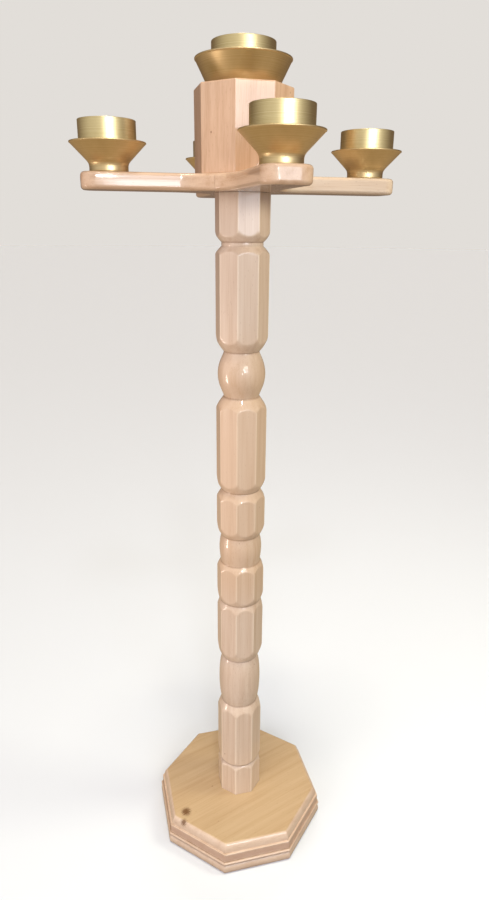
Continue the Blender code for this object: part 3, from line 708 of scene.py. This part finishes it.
def makeCup(side):
    low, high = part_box("drip_dish_" + side)
    place = ((low.x + high.x) / 2, (low.y + high.y) / 2, low.z)
    outline, slope, across = dishOutline(side, high.z - low.z, (high.x - low.x) / 2)
    addPiece("dripDish" + side.capitalize(), turned(rounded(outline, cup["dishEase"]), cup["steps"]), brassDish,
             ["drip_dish_" + side], place)

    socketLow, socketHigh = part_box("candle_socket_" + side)
    radius = (socketHigh.x - socketLow.x) / 2
    top = socketHigh.z - low.z
    seat = socketLow.z - low.z
    inner = radius - cup["socketWall"]
    onTop = side == "top"
    floor = top - (cup["topDepth"] if onTop else cup["socketDepth"])
    outline = [(inner, top), (radius, top)]
    if onTop:
        outline += [(radius, seat)]
    else:
        wallEnd = cup["footHeight"] + (radius + cup["coneGap"] + across - cup["footRadius"]) / slope
        outline += [(radius, wallEnd), (cup["stem"], seat + cup["stemHeight"]), (cup["stem"], seat)]
    outline += [(cup["hole"], seat), (cup["hole"], floor - cup["headDeep"]), (cup["headHole"], floor),
                (inner, floor)]
    addPiece("candleSocket" + side.capitalize(), turned(rounded(outline, cup["socketEase"]), cup["steps"]),
             brassSocket, ["candle_socket_" + side], place)


for side in cups:
    makeCup(side)
print("cups made")


# Fasteners: countersunk screws with a cross recess, and the bolt in the foot with its washer
fastener = {
    "steps": 36, "head": 5 * mm, "headEase": 0.25 * mm, "headHeight": 3 * mm, "shank": 2.5 * mm,
    "point": 4 * mm, "crossReach": 2.7 * mm, "crossHalf": 0.6 * mm, "crossDepth": 1.7 * mm, "crossTaper": 0.6,
    "boltSteps": 72, "boltFlats": 17 * mm, "boltFace": 0.95, "boltChamfer": 30, "boltHead": 6.5 * mm,
    "chamferSteps": 8, "boltSharp": 25, "boltShank": 5 * mm, "boltPoint": 6 * mm, "washerHole": 5.3 * mm,
    "washerEase": 0.5 * mm,
}


def crossLoop(share, height):
    # plan of a cross recess, arm by arm
    reach, half = fastener["crossReach"] * share, fastener["crossHalf"] * share
    corners = ((reach, -half), (reach, half), (half, half))
    loop = [*corners, *((-y, x) for x, y in corners)]
    loop += [(-x, -y) for x, y in corners]
    loop += [(y, -x) for x, y in corners]
    return [(x, y, height) for x, y in loop]


def makeScrew(node, name, up):
    # the point is up or down, and the head's flat face is at the other end
    low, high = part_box(node)
    way = 1 if up else -1
    length = way * (high.z - low.z)
    head, ease, shank = fastener["head"], fastener["headEase"], fastener["shank"]
    outline = [(head - ease, 0), (head, way * ease), (shank, way * fastener["headHeight"]),
               (shank, length - way * fastener["point"]), (0, length)]
    shape = bmesh.new()
    sides = skin(shape, [circle(radius, height, fastener["steps"]) for radius, height in outline])
    recess = skin(shape, [crossLoop(1, 0), crossLoop(fastener["crossTaper"], way * fastener["crossDepth"])])
    fillBetween(shape, (sides[0], recess[0]))
    shape.faces.new(recess[-1])
    place = ((low.x + high.x) / 2, (low.y + high.y) / 2, low.z if up else high.z)
    addPiece(name, shape, zincSteel, [node], place)


def makeBolt():
    low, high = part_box("base_bolt")
    half = fastener["boltFlats"] / 2
    steps = fastener["boltSteps"]
    slope = math.tan(math.radians(fastener["boltChamfer"]))
    face = half * fastener["boltFace"]
    cut = (half / math.cos(math.pi / 6) - face) * slope
    angles = [2 * math.pi * i / steps for i in range(steps)]
    levels = [[(0, 0, 0)], circle(face, 0, steps)]
    rings = fastener["chamferSteps"]
    for height in [cut * (i + 1) / rings for i in range(rings)] + [fastener["boltHead"]]:
        ring = [(min(flatsRadius(a + math.pi / 6, half, 0, 6), face + height / slope), a) for a in angles]
        levels.append([(radius * math.cos(a), radius * math.sin(a), height) for radius, a in ring])
    length = high.z - low.z
    shank, point = fastener["boltShank"], fastener["boltPoint"]
    levels += [circle(shank, fastener["boltHead"], steps), circle(shank, length - point, steps)]
    levels.append([(0, 0, length)])
    shape = bmesh.new()
    skin(shape, levels)
    addPiece("footBolt", shape, zincSteel, ["base_bolt"], (0, 0, low.z),
             sharp=fastener["boltSharp"])


def makeWasher():
    low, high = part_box("base_washer")
    inner, outer = fastener["washerHole"], (high.x - low.x) / 2
    thick = high.z - low.z
    outline = rounded([(inner, thick), (outer, thick), (outer, 0), (inner, 0)], fastener["washerEase"])
    addPiece("footWasher", turned(outline, fastener["boltSteps"]), zincSteel, ["base_washer"],
             (0, 0, low.z))


for side in cups:
    makeScrew("cup_screw_" + side, "cupScrew" + side.capitalize(), False)
for number in range(1, 5):
    makeScrew("base_screw_" + str(number), "baseScrew" + str(number), True)
makeBolt()
makeWasher()
print("fasteners made")


# The dowels are the frame's own solids and only take their finish here
for side in arms:
    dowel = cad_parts["arm_dowel_" + side]
    dowel.data.materials.clear()
    dowel.data.materials.append(beechDowel)
print("dowels dressed")


# Studio: plain pale floor, soft light from beside the camera, and small bright sources for the gloss
studio = {"floor": "#E4EEFF", "floorRadius": 30.0, "front": "#C4BEB8", "back": "#5C4C42",
          "below": "#9E8A70", "facing": (-0.4, -0.9, 0.1), "turnOver": (-0.4, 0.7), "belowDepth": -0.5,
          "glossGain": 0.55, "backdrop": "#E2DED9", "floorRoughness": 0.9, "floorSteps": 96,
          "lightAim": (0, 0, 0.75)}


def makeFloor():
    shape = bmesh.new()
    bmesh.ops.create_circle(shape, cap_ends=True, radius=studio["floorRadius"],
                            segments=studio["floorSteps"])
    mesh = bpy.data.meshes.new("studioFloor")
    shape.to_mesh(mesh)
    shape.free()
    # matt paint, pale enough to lose its edge against the backdrop
    material, _, shader = startMaterial("paleMattFloor")
    shader.inputs["Base Color"].default_value = hexColour(studio["floor"])
    shader.inputs["Roughness"].default_value = studio["floorRoughness"]
    mesh.materials.append(material)
    floor = bpy.data.objects.new("studioFloor", mesh)
    bpy.context.scene.collection.objects.link(floor)
    # the pale floor would flatten the shading of the wood and whiten the gloss, so only the camera sees it
    floor.visible_diffuse = False
    floor.visible_glossy = False


def makeSky():
    # a bright room in front of the stand, a dim one behind it and a warm floor below; reflections find it
    # brighter, and the camera itself sees a plain backdrop
    world = bpy.data.worlds.new("studioSky")
    bpy.context.scene.world = world
    world.use_nodes = True
    tree = world.node_tree
    path = addNode(tree, "ShaderNodeLightPath")
    place = addNode(tree, "ShaderNodeTexCoord")
    ahead = addNode(tree, "ShaderNodeVectorMath", {"operation": "DOT_PRODUCT"}, {1: studio["facing"]},
                    {0: place.outputs["Generated"]})
    share = addNode(tree, "ShaderNodeMapRange", None,
                    {"From Min": studio["turnOver"][0], "From Max": studio["turnOver"][1]},
                    {"Value": ahead.outputs["Value"]})
    room = addNode(tree, "ShaderNodeMix", {"data_type": "RGBA"},
                   {"A": hexColour(studio["back"]), "B": hexColour(studio["front"])},
                   {"Factor": share.outputs["Result"]})
    parts = addNode(tree, "ShaderNodeSeparateXYZ", None, None, {"Vector": place.outputs["Generated"]})
    depth = addNode(tree, "ShaderNodeMapRange", None, {"From Min": 0, "From Max": studio["belowDepth"]},
                    {"Value": parts.outputs["Z"]})
    tone = addNode(tree, "ShaderNodeMix", {"data_type": "RGBA"}, {"B": hexColour(studio["below"])},
                   {"Factor": depth.outputs["Result"], "A": room.outputs["Result"]})
    gain = addNode(tree, "ShaderNodeMath", {"operation": "MULTIPLY_ADD"}, {1: studio["glossGain"], 2: 1},
                   {0: path.outputs["Is Glossy Ray"]})
    glow = tree.nodes["Background"]
    tree.links.new(tone.outputs["Result"], glow.inputs["Color"])
    tree.links.new(gain.outputs[0], glow.inputs["Strength"])
    backdrop = addNode(tree, "ShaderNodeBackground", None, {"Color": hexColour(studio["backdrop"])})
    mixed = addNode(tree, "ShaderNodeMixShader", None, None,
                    {0: path.outputs["Is Camera Ray"], 1: glow.outputs[0], 2: backdrop.outputs[0]})
    tree.links.new(mixed.outputs[0], tree.nodes["World Output"].inputs["Surface"])


# azimuth in degrees, 0 in front of the stand; size in metres, or a spread in degrees for a distant light;
# beam is the angle that a light opens to; inGloss and inDiffuse say which of the two a light adds to
lights = {
    "softKey": {"azimuth": -60, "distance": 2.6, "height": 1.4, "spread": 40, "power": 1.06,
                "tint": "#FFEFE6", "inGloss": False},
    "frontWindow": {"azimuth": 9.6, "distance": 2.6, "height": 1.25, "size": (0.9, 0.7), "power": 10,
                    "tint": "#EAF2FF"},
    "upperPane": {"azimuth": 9.6, "distance": 2.6, "height": 1.78, "size": (0.9, 0.34), "power": 9,
                  "tint": "#F4F2EC", "inDiffuse": False},
    "armPane": {"azimuth": 4, "distance": 2.6, "height": 1.1, "size": (0.5, 0.2), "power": 2.4,
                "tint": "#EEF6FF", "inDiffuse": False},
    "leftPatch": {"azimuth": -89, "distance": 1.5, "height": 0.3, "size": (0.2, 0.55), "power": 0.5,
                  "tint": "#FFE6DA", "beam": 50},
    "rightLamp": {"azimuth": 72, "distance": 1.0, "height": 1.5, "size": (0.4, 0.5), "power": 8.5,
                  "tint": "#FFF7D8", "inGloss": False},
    "nearBulb": {"azimuth": -4, "distance": 1.8, "height": 1.25, "size": (0.13, 0.13), "power": 3.6,
                 "tint": "#FFFFFF"},
    "lowBulb": {"azimuth": -9, "distance": 1.6, "height": 0.8, "size": (0.09, 0.09), "power": 0.9,
                "tint": "#FFFFFF"},
    "ceilingLamp": {"azimuth": -8, "distance": 1.1, "height": 2.3, "size": (0.16, 0.16), "power": 4.5,
                    "tint": "#FFFFFF"},
    "overhead": {"azimuth": -14, "distance": 0.6, "height": 4, "spread": 16, "power": 1.5, "tint": "#FFEFCF"},
    "backFill": {"azimuth": 160, "distance": 2.6, "height": 1.2, "spread": 60, "power": 1.8,
                 "tint": "#FFF4EA", "inGloss": False},
}


def makeLight(name, size):
    distant = "spread" in size
    lamp = bpy.data.lights.new(name, "SUN" if distant else "AREA")
    if distant:
        lamp.angle = math.radians(size["spread"])
    else:
        lamp.shape = "RECTANGLE"
        lamp.size, lamp.size_y = size["size"]
        lamp.spread = math.radians(size.get("beam", 180))
    lamp.energy = size["power"]
    lamp.color = hexColour(size["tint"])[:3]
    light = bpy.data.objects.new(name, lamp)
    bpy.context.scene.collection.objects.link(light)
    light.visible_glossy = size.get("inGloss", True)
    light.visible_diffuse = size.get("inDiffuse", True)
    a = math.radians(size["azimuth"])
    light.location = (math.sin(a) * size["distance"], -math.cos(a) * size["distance"], size["height"])
    aim = Vector(studio["lightAim"]) - light.location
    light.rotation_euler = aim.to_track_quat("-Z", "Y").to_euler()


makeFloor()
makeSky()
for name, size in lights.items():
    makeLight(name, size)
print("studio made:", len(lights), "lights")


# Camera at the photo's place, just below the cups and close to the stand
view = {"azimuth": -13.8, "distance": 0.8926, "height": 0.9939, "pitch": 19.43, "roll": 0.5, "yaw": -0.33,
        "lens": 25.68, "sensor": 36}
cameraData = bpy.data.cameras.new("photoCamera")
cameraData.lens = view["lens"]
cameraData.sensor_width = view["sensor"]
camera = bpy.data.objects.new("photoCamera", cameraData)
bpy.context.scene.collection.objects.link(camera)
bpy.context.scene.camera = camera
a = math.radians(view["azimuth"])
camera.location = (math.sin(a) * view["distance"], -math.cos(a) * view["distance"], view["height"])
aim = Matrix.Rotation(a + math.radians(view["yaw"]), 3, "Z")
aim = aim @ Matrix.Rotation(math.radians(90 - view["pitch"]), 3, "X")
camera.rotation_euler = (aim @ Matrix.Rotation(math.radians(view["roll"]), 3, "Z")).to_euler()
bpy.context.scene.view_settings.view_transform = "Standard"
print("camera set")
